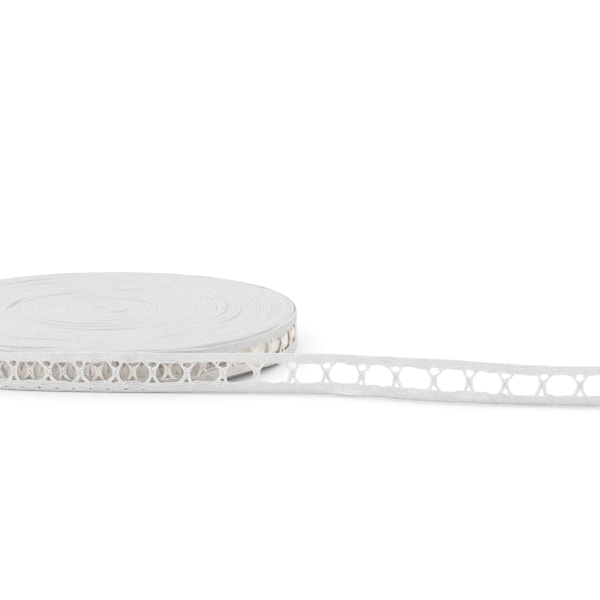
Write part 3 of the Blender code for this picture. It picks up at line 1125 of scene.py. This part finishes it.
BUNCHED_SECTION = (
    ("across", "edge", "in_mm", "beaded", "lump_mm"),
    (0.00, "high", 0.00, 0, 0),
    (0.60, "high", 0.20, 0, 0.12),
    (1.10, "high", 0.80, 0, 0.16),
    (1.10, "low", 1.60, 0, 0.16),
    (1.00, "low", 0.30, 0, 0.12),
    (-0.80, "low", 0.30, 0, 0),
    (-0.80, "high", 0.30, 0, 0),
)
GROOVE_TURNS = 0.75
GROOVES = (
    ("share", "depth_mm", "bearing_deg", "spread_deg"),
    (0.974, 1.9, 46, 16),
    (0.940, 0.9, -17, 8),
    (0.780, 0.9, -13, 12),
    (0.540, 0.9, 5, 18),
    (0.460, 0.8, -8, 26),
    (0.400, 0.7, -14, 30),
    (0.340, 0.6, 12, 22),
    (0.460, 1.2, 172, 10),
    (0.420, 0.9, 222, 26),
    (0.460, 0.9, 261, 13),
    (0.740, 0.7, 216, 14),
    (0.860, 0.6, 214, 12),
    (0.640, 0.5, 95, 24),
    (0.720, 0.5, 76, 16),
    (0.145, 0.9, 45, 20),
    (0.250, 0.5, 150, 40),
)


def groove_sink(s):
    """How far the top of the lace is sunk at a place, for the grooves between turns."""
    count, bearing = place_in_roll(s)
    share = 1.0 - count / wound_count[-1]
    sink = np.zeros_like(s)
    for row in rows_of(GROOVES):
        near = hump(share, row["share"], GROOVE_TURNS / wound_count[-1])
        near = near * hump(turned_from(bearing, row["bearing_deg"]), 0, row["spread_deg"])
        sink = np.maximum(sink, row["depth_mm"] * MM * near)
    return sink


def bead_stations(s_from, s_to):
    """Stations of a sweep, and which of them are a bead's top."""
    number = steps_inside(s_from, s_to, BEAD_STATION)
    return number * BEAD_STATION, number % 2 == 0


LUMPS = (
    ("way_deg", "wave_mm", "reach_mm", "seed"),
    (12, 13.0, 0.16, 71),
    (64, 19.0, 0.20, 72),
    (118, 11.0, 0.14, 73),
    (160, 8.0, 0.10, 74),
)
LUMPS_START = 0.2


def lumps(s):
    """Soft ups and downs of the roll's top, which neighbouring turns share."""
    x, y = along_path(s)[0].T
    rise = np.zeros_like(s)
    for row in rows_of(LUMPS):
        way = math.radians(row["way_deg"])
        across = x * math.cos(way) + y * math.sin(way) + LUMPS_START
        rise += uneven(across, row["wave_mm"] * MM, row["reach_mm"] * MM, int(row["seed"]))
    return rise


def edge_heights(s, is_bead):
    """Height of the lace's lower and upper edge in the roll, with its beads."""
    high = lace_height(s) - groove_sink(s) - np.where(is_bead, 0.0, BEAD_DEPTH)
    high += waver(s, "height of the beads") + waver(s, "height of a turn") + lumps(s)
    low = np.abs(waver(s, "foot of a turn")) + LIFT * lift_share(s)
    return low, high


def sweep(s, is_bead, low, high, section, plies=1):
    """The skin of a band along the path between the heights low and high at each station."""
    rows = rows_of(section)
    half = LACE_THICKNESS / 2 * SWEPT_THICKER
    narrowing = LACE_THICKNESS / 2 * np.where(is_bead, 0.0, BEAD_NARROW)
    shared = waver(s, "place through the cloth")
    fine = waver(s, "beads through the cloth")
    base, out = along_path(s)
    rings = np.empty((len(s), len(rows), 3))
    for corner, row in enumerate(rows):
        across = row["across"] * (half - narrowing * row["beaded"]) + shared + fine * row["beaded"]
        if row.get("lump_mm"):
            across += uneven(s, LUMP_WAVE, row["lump_mm"] * MM, 80 + corner // 2)
        rings[:, corner, :2] = base + across[:, None] * out
        inwards = row["in_mm"] * MM
        rings[:, corner, 2] = high - inwards if row["edge"] == "high" else low + inwards
    shape = [(row["across"] * LACE_THICKNESS / 2, row["in_mm"] * MM) for row in rows + rows[:1]]
    around = plies * lengths(np.array(shape)) / (2 * np.pi * RUNNER_RADIUS)
    return skin(rings, s / MM, around)


print("a turn's section has", len(TURN_SECTION) - 1, "points, and the wall's", len(WALL_SECTION) - 1)

# %% The second turn with its ladder, and the third turn as a wall
LADDER_TURNS = 2.05
WALL_TURNS = 3.1
HIDDEN_CROSS_RADIUS = 0.40 * MM
WALL_PLIES = 1.5
BUNCH_FROM_TURN = 1.80
BUNCH_TO_TURN = 1.56
BUNCH_FADE = 6 * MM
BUNCH_THINNEST = 0.1
BUNCH_BELOW = 0.4 * MM
BUNCH_ABOVE = 0.15 * MM
ladder_from = s_of_turn(LADDER_TURNS)
s, is_bead = bead_stations(ladder_from, FIRST_TURN_END)
low, high = edge_heights(s, is_bead)
inner_edge = waver(s, "hidden band's inner edge")
skins = [sweep(s, is_bead, high - BAND_WIDTH + inner_edge, high, BAND_SECTION),
         sweep(s, is_bead, low, low + BAND_WIDTH + inner_edge, BAND_SECTION)]
skins += [thread_skin(lay(line), HIDDEN_CROSS_RADIUS, COARSE_SIDES)
          for line in crossing_threads(ladder_from, FIRST_TURN_END, CROSSING_STEPS["hidden"])]
s, is_bead = bead_stations(s_of_turn(BUNCH_FROM_TURN), s_of_turn(BUNCH_TO_TURN))
fade = np.clip(np.minimum(s - s[0], s[-1] - s) / BUNCH_FADE, BUNCH_THINNEST, 1.0)
middle = lace_height(s) / 2
below = middle - BAND_WIDTH + BUNCH_BELOW
above = middle - BAND_WIDTH - BUNCH_ABOVE - np.abs(waver(s, "top of the bunched threads"))
skins.append(sweep(s, is_bead, middle - fade * below, middle + fade * above, BUNCHED_SECTION, WALL_PLIES))
ladder_turn = mesh_of("ladder_turn", skins, cotton_ladder)
print("ladder_turn", triangles(ladder_turn), "triangles")
wall_from = s_of_turn(WALL_TURNS)
s, is_bead = bead_stations(wall_from, ladder_from)
wall_skin = sweep(s, is_bead, *edge_heights(s, is_bead), WALL_SECTION, WALL_PLIES)
wall_turn = mesh_of("wall_turn", [wall_skin], cotton_deep)
print("wall_turn", triangles(wall_turn), "triangles")

# %% The turns inside the wall
TURN_PIECES = (
    ("outside_count", "inside_count", "name"),
    (WALL_TURNS, 18.0, "rim_turns"),
    (18.0, 33.0, "middle_turns"),
    (33.0, 70.0, "inner_turns"),
)
packed_turns = []
for row in rows_of(TURN_PIECES):
    inner_s = max(s_of_turn(row["inside_count"]), path_at[0] + PASS)
    outer_s = s_of_turn(row["outside_count"])
    s, is_bead = bead_stations(inner_s, outer_s)
    piece = mesh_of(row["name"], [sweep(s, is_bead, *edge_heights(s, is_bead), TURN_SECTION)], cotton_deep)
    packed_turns.append((piece, outer_s - inner_s))
    print(piece.name, triangles(piece), "triangles")

# %% [markdown]
# Last, every piece is tied to the frame: all of them ride on the one body, and the loose lace
# stands for the solid loose end and the turns for the solid roll, whose frame parts are hidden.
# The length of each wound piece, as it would be laid out flat, is printed.

# %% Riding and replacing
wound_pieces = [(outer_turn, -FIRST_TURN_END), (ladder_turn, FIRST_TURN_END - ladder_from),
                (wall_turn, ladder_from - wall_from)] + packed_turns
for number, (piece, length) in enumerate(wound_pieces):
    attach(piece, "root")
    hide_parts("roll")
    print(piece.name, "flat length", round(float(length), 3), "m")
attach(loose_lace, "root")
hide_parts("loose_end")
